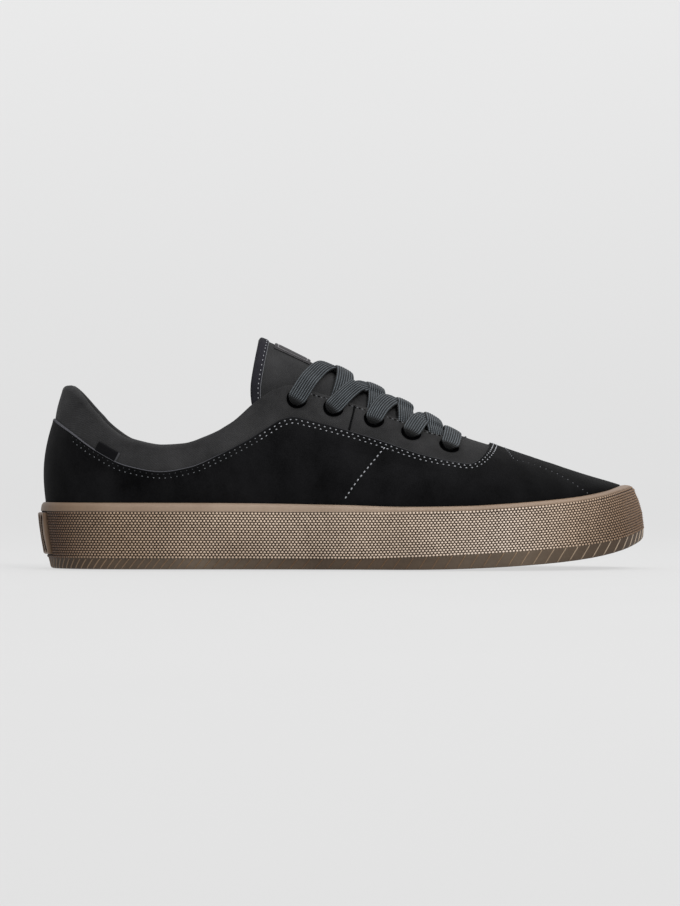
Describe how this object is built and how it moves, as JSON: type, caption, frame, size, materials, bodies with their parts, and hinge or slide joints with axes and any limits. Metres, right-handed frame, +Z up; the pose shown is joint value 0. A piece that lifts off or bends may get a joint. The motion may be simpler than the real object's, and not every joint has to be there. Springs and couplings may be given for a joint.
{
  "type": "skateboarding shoe",
  "caption": "Low-top lace-up skateboarding shoe with a suede upper, padded collar, flat laces and a textured rubber cup sole; right foot.",
  "frame": {"origin": "on the floor, under the middle of the shoe's box", "axes": "+X along the shoe to the toe, +Y to the inner (medial) side, -Y to the outer (lateral) side, +Z up"},
  "size_m": [0.2995, 0.1078, 0.1135],
  "materials": {
    "gum_rubber": "satin, fine pebbled sidewall",
    "suede": "black suede, over a dark grey woven textile at collar and eyestays",
    "tongue_textile": "matte",
    "insole_textile": "matte",
    "lace": "matte, ribbed lengthwise",
    "label_textile": "matte",
    "tag_textile": "matte"
  },
  "bodies": {
    "root": {"sole": "gum_rubber", "heel_plate": "gum_rubber", "insole": "insole_textile", "upper": "suede", "tongue": "tongue_textile", "tongue_label": "label_textile", "side_tag": "tag_textile", "lace_crossing_1": "lace", "lace_crossing_2": "lace", "lace_crossing_3": "lace", "lace_crossing_4": "lace", "lace_bar": "lace"}
  },
  "joints": []
}
